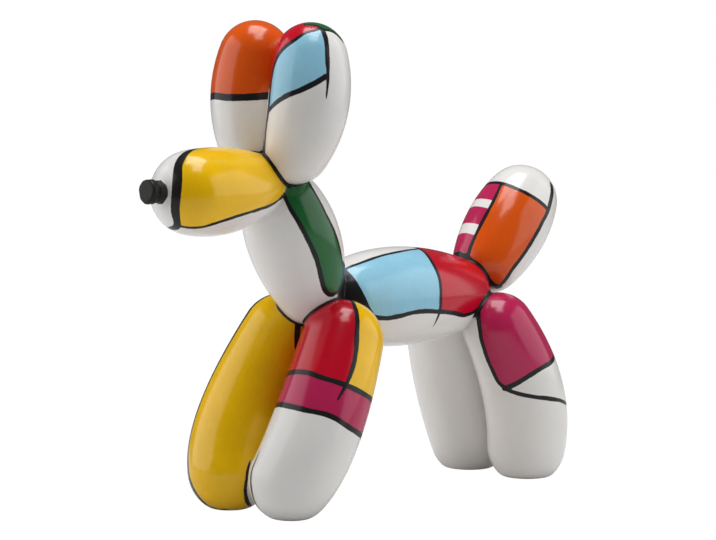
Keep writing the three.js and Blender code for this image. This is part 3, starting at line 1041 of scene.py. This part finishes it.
def painted_resin(colours):
    """Gloss enamel on cast resin: white ground, colour fields, black lines, and the matt black knot."""
    material = bpy.data.materials.new("painted_resin_enamel")
    material.use_nodes = True
    tree = material.node_tree
    tree.nodes.clear()
    output = tree.nodes.new("ShaderNodeOutputMaterial")
    shader = tree.nodes.new("ShaderNodeBsdfPrincipled")
    tree.links.new(shader.outputs["BSDF"], output.inputs["Surface"])
    place = tree.nodes.new("ShaderNodeTexCoord").outputs["Object"]
    edge_group = brush_edge_group()
    colour_group = brushed_colour_group()

    def inside(name):
        return add_node(tree, "ShaderNodeAttribute", attribute_name=name).outputs["Fac"]

    def covered(name, wobble, softness=0.22):
        node = add_node(tree, "ShaderNodeGroup", {
            "Inside": inside(name),
            "Vector": place,
            "Wobble": wobble,
            "Softness": softness,
        }, node_tree=edge_group)
        return node.outputs["Mask"]

    def brushed(name, variation):
        node = add_node(tree, "ShaderNodeGroup", {
            "Colour": (*getattr(colours, name), 1),
            "Vector": place,
            "Variation": variation,
        }, node_tree=colour_group)
        return node.outputs["Colour"]

    colour = brushed("white", 0.03)
    for name in PIGMENTS:
        colour = mix_colour(tree, covered(name, 0.22), colour, brushed(name, 0.12))
    # Painted shade, with some grime, darkening the creases between bubbles.
    grime_and_shade = add_node(tree, "ShaderNodeGroup", {
        "Away": inside("crease"),
        "Vector": place,
        "Reach": 4.0,
    }, node_tree=crease_grime_and_shade_group())
    grime_and_shade_mask = calculate(tree, "MULTIPLY", grime_and_shade.outputs["Mask"], CREASE_GRIME_AND_SHADE_STRENGTH)
    colour = mix_colour(tree, grime_and_shade_mask, colour, CREASE_GRIME_AND_SHADE_COLOUR)
    ink = covered("ink", 0.3)
    colour = mix_colour(tree, ink, colour, brushed("black", 0.25))
    knot = covered("knot", 0.2)
    colour = mix_colour(tree, knot, colour, brushed("knot", 0.2))
    tree.links.new(colour, shader.inputs["Base Color"])

    uneven = noise(tree, place, 90.0, 2.0)
    sheen = add_node(tree, "ShaderNodeMapRange", {"Value": uneven, "To Min": 0.2, "To Max": 0.3})
    rough = sheen.outputs["Result"]
    rough = mix_value(tree, ink, rough, 0.36)
    rough = mix_value(tree, knot, rough, 0.5)
    tree.links.new(rough, shader.inputs["Roughness"])
    coat = mix_value(tree, ink, 0.62, 0.35)
    coat = mix_value(tree, knot, coat, 0.12)
    tree.links.new(coat, shader.inputs["Coat Weight"])
    shader.inputs["Coat Roughness"].default_value = 0.16
    shader.inputs["IOR"].default_value = 1.46
    shader.inputs["Specular IOR Level"].default_value = 0.1

    relief = add_node(tree, "ShaderNodeGroup", {
        "Line": ink,
        "Vector": place,
        "Line Height": 0.35,
    }, node_tree=paint_relief_group())
    bump = add_node(tree, "ShaderNodeBump", {
        "Height": relief.outputs["Height"],
        "Strength": 0.35,
        "Distance": 0.0004,
    })
    tree.links.new(bump.outputs["Normal"], shader.inputs["Normal"])
    return material


# ---- User values -----------------------------------------------------------------------------
def colour_value(name, description, default):
    """A colour the user may change."""
    return bpy.props.FloatVectorProperty(
        name=name, description=description, default=default, subtype="COLOR", size=3, min=0.0, max=1.0)


class PoodleColours(bpy.types.PropertyGroup):
    """Colours of the enamel."""

    white: colour_value("White", "Ground colour of the whole figure", (0.80, 0.785, 0.765))
    black: colour_value("Black", "Brush lines and dark fields", (0.012, 0.012, 0.014))
    knot: colour_value("Knot", "The tied nose", (0.018, 0.018, 0.016))
    orange: colour_value("Orange", "Right ear and tail", (0.70, 0.092, 0.004))
    yellow: colour_value("Yellow", "Face and front legs", (0.90, 0.525, 0.001))
    sky: colour_value("Sky blue", "Left ear and saddle", (0.29, 0.59, 0.76))
    red: colour_value("Red", "Rump, left front leg and ear", (0.53, 0.002, 0.018))
    magenta: colour_value("Magenta", "Left hind leg, leg band and tail stripes", (0.47, 0.016, 0.088))
    green: colour_value("Green", "Neck stripe", (0.01, 0.125, 0.028))


def number_value(name, description, default, **limits):
    """A number the user may change."""
    return bpy.props.FloatProperty(name=name, description=description, default=default, **limits)


class PoodleSizes(bpy.types.PropertyGroup):
    """Sizes of the figure's finish, in millimetres at its design length."""

    crease_fillet: number_value(
        "Crease fillet", "How softly one bubble runs into the next", 0.9, min=0.3, max=4.0)
    foot_rounding: number_value(
        "Foot rounding", "Rounding where a foot meets the table", 0.7, min=0.2, max=3.0)
    line_scale: number_value(
        "Line weight", "Weight of the black brush lines", 1.0, min=0.3, max=2.0, subtype="FACTOR")
    mesh_step: number_value(
        "Mesh step", "Length of an edge away from lines and creases", 2.5, min=1.5, max=6.0)


class StudioSizes(bpy.types.PropertyGroup):
    """Camera and lights."""

    azimuth: number_value(
        "Azimuth", "Camera's turn from the dog's left side, towards its face",
        math.radians(47), subtype="ANGLE")
    elevation: number_value("Elevation", "Camera's height as an angle", math.radians(6.1), subtype="ANGLE")
    roll: number_value("Roll", "Camera's lean about its own axis", math.radians(0.4), subtype="ANGLE")
    distance: number_value("Distance", "Camera to the middle of the figure", 2.064, unit="LENGTH")
    lens: number_value("Lens", "Focal length in millimetres on a 36 mm frame", 165.9)
    left_light: number_value(
        "Left light", "Brightness of the soft box on the camera's left", 1.72, min=0.0)
    right_light: number_value(
        "Right light", "Brightness of the soft box on the camera's right", 1.5, min=0.0)
    top_light: number_value("Top light", "Brightness of the overhead soft box", 6.6, min=0.0)
    key_light: number_value("Key light", "Brightness of the small soft box above the camera", 5.4, min=0.0)
    room_light: number_value("Room light", "Brightness of the pale room", 0.09, min=0.0)


# ---- Operators -------------------------------------------------------------------------------
# Rounds of refining: edge length as a share of the mesh step, and how far from a line it applies.
FULL_REFINING = ((0.5, 2.4), (0.36, 1.05))


class OBJECT_OT_painted_poodle(bpy.types.Operator):
    """Make the painted figure in place of the plain CAD solid"""

    bl_idname = "object.painted_poodle"
    bl_label = "Painted figure"

    def execute(self, context):
        sizes = context.scene.poodle_sizes
        material = painted_resin(context.scene.poodle_colours)
        figure = Figure(sizes.crease_fillet, sizes.foot_rounding)
        paint = Paint(figure, sizes.line_scale)
        step = sizes.mesh_step * 1.0
        rough = rough_figure(figure, material, step)
        points, triangles = mesh_arrays(rough)
        bpy.data.meshes.remove(rough)
        if len(points) < FEWEST_POINTS:
            raise RuntimeError("The bubbles did not run together into one skin")
        points, normals = figure.settle(points, rounds=3)
        points, normals = relax(figure, points, normals, triangles, 3)
        for fineness, reach in FULL_REFINING:
            points, normals, triangles = self.refine(figure, paint, points, triangles, step, fineness, reach)
        self.build(points, normals, triangles, paint.measure(points), material)
        return {"FINISHED"}

    @staticmethod
    def refine(figure, paint, points, triangles, step, fineness, reach):
        """Shorter edges where lines, colour edges, creases, the knot and the feet's rims are."""
        values = paint.measure(points)
        edge = np.abs(values["ink"])
        for name in PIGMENTS:
            edge = np.minimum(edge, np.abs(values[name]) + 0.6)
        edge = np.minimum(edge, values["crease"] * 0.8)
        edge = np.minimum(edge, np.abs(values["knot"]) * 0.7)
        edge = np.minimum(edge, np.abs(points[:, 2] - 0.8) + 0.4)
        near = edge < reach
        wanted = np.where(near, step * fineness, step * 1.4)
        points, triangles = split_long(points, triangles, wanted)
        points, normals = figure.settle(points, rounds=2)
        points, normals = relax(figure, points, normals, triangles, 2)
        return points, normals, triangles

    @staticmethod
    def build(points, normals, triangles, values, material):
        """The finished mesh with its paint values, and its place in the frame."""
        mesh = bpy.data.meshes.new("painted_poodle")
        mesh.vertices.add(len(points))
        mesh.vertices.foreach_set("co", (points * MM).ravel())
        mesh.loops.add(len(triangles) * 3)
        mesh.loops.foreach_set("vertex_index", triangles.ravel().astype(np.int32))
        mesh.polygons.add(len(triangles))
        mesh.polygons.foreach_set("loop_start", np.arange(0, len(triangles) * 3, 3, dtype=np.int32))
        mesh.update(calc_edges=True)
        mesh.validate()
        mesh.materials.append(material)
        for name, value in values.items():
            attribute = mesh.attributes.new(name, "FLOAT", "POINT")
            attribute.data.foreach_set("value", value.astype(np.float32))
        mesh.polygons.foreach_set("use_smooth", np.ones(len(mesh.polygons), dtype=bool))
        mesh.normals_split_custom_set_from_vertices(normals.astype(np.float32))
        mesh.transform(Matrix.Translation(MIDDLE))
        piece = put_in_scene("painted_poodle", mesh)
        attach(piece, "root")
        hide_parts(NODE)


# Soft boxes: the place (degrees from the camera, reach and height in metres), the size and the aim.
SOFT_BOXES = (
    ("left", (-88, 1.15, 0.62), (1.5, 1.15), "waist"),
    ("right", (88, 1.15, 0.62), (1.5, 1.15), "waist"),
    ("top", (170, 0.12, 1.38), (0.7, 0.7), "middle"),
    ("key", (15, 0.42, 1.32), (0.42, 0.42), "middle"),
)


def soft_box(name, place, target, width, height, brightness):
    """A rectangular light of an even brightness, facing the target."""
    light = bpy.data.lights.new(name, "AREA")
    light.shape = "RECTANGLE"
    light.size = width
    light.size_y = height
    light.energy = brightness * math.pi * width * height
    lamp = put_in_scene(name, light)
    lamp.location = place
    lamp.rotation_euler = (target - place).to_track_quat("-Z", "Y").to_euler()


class OBJECT_OT_studio_stage(bpy.types.Operator):
    """Lay the pale floor and set up the lights and the camera"""

    bl_idname = "object.poodle_stage"
    bl_label = "Floor, lights and camera"

    def execute(self, context):
        studio = context.scene.poodle_studio
        scale = MM * 1000
        target = MIDDLE + Vector((-0.5, 0, 143.4)) * MM
        self.floor()
        self.world(context.scene, studio.room_light)
        self.lights(studio, target, scale)
        self.camera(context.scene, studio, target, scale)
        context.scene.view_settings.view_transform = "Standard"
        return {"FINISHED"}

    @staticmethod
    def floor():
        """A wide pale table top."""
        half = 12.0
        mesh = bpy.data.meshes.new("pale_floor")
        corners = [(-half, -half, 0), (half, -half, 0), (half, half, 0), (-half, half, 0)]
        mesh.from_pydata(corners, [], [(0, 1, 2, 3)])
        mesh.update()
        mesh.transform(Matrix.Translation(Vector((MIDDLE.x, MIDDLE.y, LOW.z - 0.0002))))
        material = bpy.data.materials.new("pale_floor")
        material.use_nodes = True
        tree = material.node_tree
        tree.nodes.clear()
        output = tree.nodes.new("ShaderNodeOutputMaterial")
        matt = add_node(tree, "ShaderNodeBsdfDiffuse")
        place = tree.nodes.new("ShaderNodeTexCoord").outputs["Object"]
        grain = noise(tree, place, 40.0, 3.0)
        tint = mix_colour(tree, grain, (0.80, 0.80, 0.80, 1), (0.84, 0.84, 0.84, 1))
        tree.links.new(tint, matt.inputs["Color"])
        glow = add_node(tree, "ShaderNodeEmission", {"Color": (1, 1, 1, 1), "Strength": 1.06})
        seen = tree.nodes.new("ShaderNodeLightPath").outputs["Is Camera Ray"]
        blend = add_node(tree, "ShaderNodeMixShader", {
            0: calculate(tree, "MULTIPLY", seen, 0.95), 1: matt.outputs[0], 2: glow.outputs[0]})
        tree.links.new(blend.outputs[0], output.inputs["Surface"])
        mesh.materials.append(material)
        piece = put_in_scene("pale_floor", mesh)

    @staticmethod
    def world(scene, room_light):
        """A pale room: bright behind the figure, and gentler as light."""
        world = bpy.data.worlds.new("pale_room")
        world.use_nodes = True
        tree = world.node_tree
        tree.nodes.clear()
        output = tree.nodes.new("ShaderNodeOutputWorld")
        seen = tree.nodes.new("ShaderNodeLightPath").outputs["Is Camera Ray"]
        strength = add_node(tree, "ShaderNodeMix", {0: seen, 2: room_light, 3: 1.02}).outputs[0]
        room = add_node(tree, "ShaderNodeBackground", {"Color": (1, 1, 1, 1), "Strength": strength})
        tree.links.new(room.outputs[0], output.inputs["Surface"])
        scene.world = world

    @staticmethod
    def lights(studio, target, scale):
        """Two upright soft boxes beside the camera's view, a wide one overhead and a small key light."""
        def beside(turn, reach, height):
            angle = -studio.azimuth + math.radians(turn)
            return MIDDLE + Vector((math.sin(angle) * reach, -math.cos(angle) * reach, height)) * scale

        waist = Vector((target.x, target.y, 0.42 * scale))
        for name, place, (width, height), aim in SOFT_BOXES:
            aimed_at = waist if aim == "waist" else target
            brightness = getattr(studio, f"{name}_light")
            soft_box(f"{name}_soft_box", beside(*place), aimed_at, width * scale, height * scale, brightness)

    @staticmethod
    def camera(scene, studio, target, scale):
        """The camera, level with the table's edge and turned to the dog's left cheek."""
        data = bpy.data.cameras.new("studio_camera")
        data.sensor_width = 36.0
        data.lens = studio.lens
        data.clip_start = 0.05
        data.clip_end = 100.0
        camera = put_in_scene("studio_camera", data)
        flat = math.cos(studio.elevation)
        back = Vector((
            -math.sin(studio.azimuth) * flat, -math.cos(studio.azimuth) * flat, math.sin(studio.elevation)))
        camera.location = target + back * studio.distance * scale
        turn = back.to_track_quat("Z", "Y")
        lean = Matrix.Rotation(studio.roll, 4, "Z")
        camera.matrix_world = Matrix.Translation(camera.location) @ turn.to_matrix().to_4x4() @ lean
        scene.camera = camera


class VIEW3D_PT_poodle(bpy.types.Panel):
    """The figure's operators and values in the sidebar"""

    bl_idname = "VIEW3D_PT_poodle"
    bl_label = "Balloon poodle"
    bl_space_type = "VIEW_3D"
    bl_region_type = "UI"
    bl_category = "Balloon poodle"

    def draw(self, context):
        layout = self.layout
        layout.operator(OBJECT_OT_painted_poodle.bl_idname)
        layout.operator(OBJECT_OT_studio_stage.bl_idname)
        for group in (context.scene.poodle_sizes, context.scene.poodle_colours, context.scene.poodle_studio):
            box = layout.box()
            for name in group.__annotations__:
                box.prop(group, name)


CLASSES = (
    PoodleColours,
    PoodleSizes,
    StudioSizes,
    OBJECT_OT_painted_poodle,
    OBJECT_OT_studio_stage,
    VIEW3D_PT_poodle,
)


def register():
    """Make the operators, the panel and the values known."""
    for kind in CLASSES:
        bpy.utils.register_class(kind)
    bpy.types.Scene.poodle_colours = bpy.props.PointerProperty(type=PoodleColours)
    bpy.types.Scene.poodle_sizes = bpy.props.PointerProperty(type=PoodleSizes)
    bpy.types.Scene.poodle_studio = bpy.props.PointerProperty(type=StudioSizes)


def unregister():
    """Take them away again."""
    del bpy.types.Scene.poodle_studio
    del bpy.types.Scene.poodle_sizes
    del bpy.types.Scene.poodle_colours
    for kind in reversed(CLASSES):
        bpy.utils.unregister_class(kind)


def main():
    """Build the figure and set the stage."""
    register()
    bpy.ops.object.painted_poodle()
    bpy.ops.object.poodle_stage()


if __name__ == "__main__":
    main()
